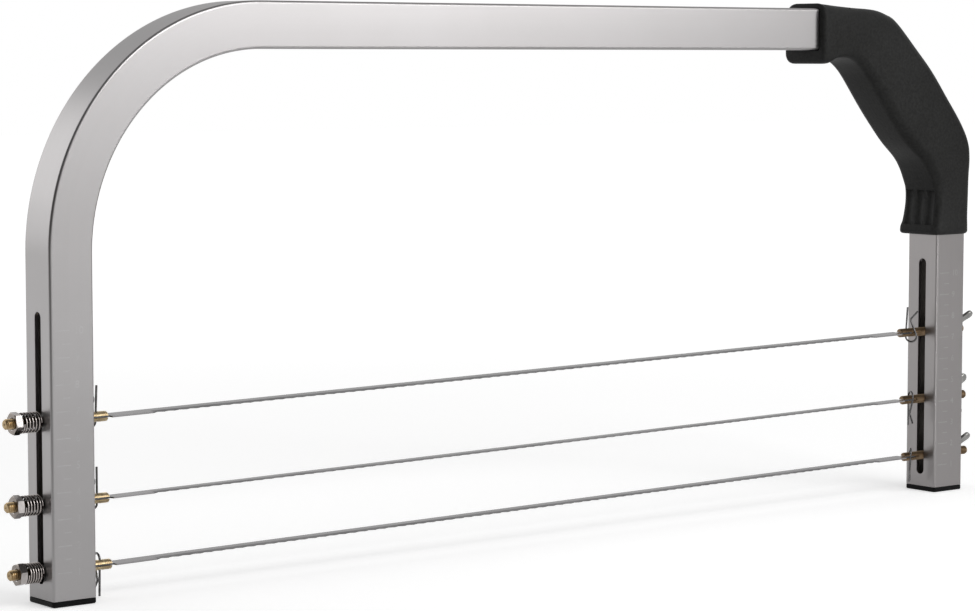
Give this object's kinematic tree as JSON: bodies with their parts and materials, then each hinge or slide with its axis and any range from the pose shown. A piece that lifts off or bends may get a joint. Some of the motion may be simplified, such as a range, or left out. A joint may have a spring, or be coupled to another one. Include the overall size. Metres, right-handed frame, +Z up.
{
  "type": "cake leveler",
  "caption": "Cake leveler: a bent square tube frame with a moulded grip and sprung blades strung between slotted legs, set in height by hand and drawn taut by wing nuts.",
  "frame": {"origin": "on the table, below the middle of the whole object's box", "axes": "+X along the blades from the sprung left leg to the leg under the grip, +Y from front to back, +Z up"},
  "size_m": [0.5284, 0.0264, 0.233],
  "materials": {
    "tube_aluminium": "matt, fine brushed",
    "grip_plastic": "finely grained black moulding",
    "cap_plastic": "smooth black moulding",
    "blade_steel": "cold rolled, ground edge",
    "stud_brass": "yellow passivated, a little dull",
    "nut_steel": "bright zinc plated",
    "spring_steel": "bright drawn wire",
    "screw_steel": "dark zinc plated"
  },
  "bodies": {
    "frame": {"frame_tube": "tube_aluminium", "right_leg_tube": "tube_aluminium", "left_foot_cap": "cap_plastic", "right_foot_cap": "cap_plastic", "grip_front_half": "grip_plastic", "grip_back_half": "grip_plastic", "bar_grip_screw": "screw_steel", "upper_grip_screw": "screw_steel", "lower_grip_screw": "screw_steel", "leg_grip_screw": "screw_steel"},
    "top_carriage": {"top_spring": "spring_steel", "top_washer": "nut_steel"},
    "top_line": {"top_blade": "blade_steel", "top_left_stud": "stud_brass", "top_right_stud": "stud_brass", "top_left_clip": "spring_steel", "top_right_clip": "spring_steel", "top_tension_nut": "nut_steel"},
    "top_wing": {"top_wing_nut": "nut_steel"},
    "middle_carriage": {"middle_spring": "spring_steel", "middle_washer": "nut_steel"},
    "middle_line": {"middle_blade": "blade_steel", "middle_left_stud": "stud_brass", "middle_right_stud": "stud_brass", "middle_left_clip": "spring_steel", "middle_right_clip": "spring_steel", "middle_tension_nut": "nut_steel"},
    "middle_wing": {"middle_wing_nut": "nut_steel"},
    "bottom_carriage": {"bottom_spring": "spring_steel", "bottom_washer": "nut_steel"},
    "bottom_line": {"bottom_blade": "blade_steel", "bottom_left_stud": "stud_brass", "bottom_right_stud": "stud_brass", "bottom_left_clip": "spring_steel", "bottom_right_clip": "spring_steel", "bottom_tension_nut": "nut_steel"},
    "bottom_wing": {"bottom_wing_nut": "nut_steel"}
  },
  "joints": [
    {"name": "top_height", "type": "slide", "parent": "frame", "child": "top_carriage", "axis": [0, 0, 1], "range_m": [-0.006, 0.032]},
    {"name": "top_tension", "type": "slide", "parent": "top_carriage", "child": "top_line", "axis": [1, 0, 0], "range_m": [-0.0016, 0.0008], "deforming": ["top_spring"]},
    {"name": "top_wing_turn", "type": "hinge", "parent": "top_carriage", "child": "top_wing", "pos_m": [0.25193, 0, 0.0771], "axis": [1, 0, 0], "range_deg": [-370, 740]},
    {"name": "middle_height", "type": "slide", "parent": "frame", "child": "middle_carriage", "axis": [0, 0, 1], "range_m": [-0.0034, 0.0052]},
    {"name": "middle_tension", "type": "slide", "parent": "middle_carriage", "child": "middle_line", "axis": [1, 0, 0], "range_m": [-0.0016, 0.0008], "deforming": ["middle_spring"]},
    {"name": "middle_wing_turn", "type": "hinge", "parent": "middle_carriage", "child": "middle_wing", "pos_m": [0.25193, 0, 0.0447], "axis": [1, 0, 0], "range_deg": [-370, 740]},
    {"name": "bottom_height", "type": "slide", "parent": "frame", "child": "bottom_carriage", "axis": [0, 0, 1], "range_m": [-0.0004, 0.0029]},
    {"name": "bottom_tension", "type": "slide", "parent": "bottom_carriage", "child": "bottom_line", "axis": [1, 0, 0], "range_m": [-0.0016, 0.0008], "deforming": ["bottom_spring"]},
    {"name": "bottom_wing_turn", "type": "hinge", "parent": "bottom_carriage", "child": "bottom_wing", "pos_m": [0.25193, 0, 0.0172], "axis": [1, 0, 0], "range_deg": [-370, 740]}
  ],
  "couplings": [
    {"joint": "top_wing_turn", "follows": "top_tension", "rad_per_m": -7913.3},
    {"joint": "middle_wing_turn", "follows": "middle_tension", "rad_per_m": -7913.3},
    {"joint": "bottom_wing_turn", "follows": "bottom_tension", "rad_per_m": -7913.3}
  ]
}
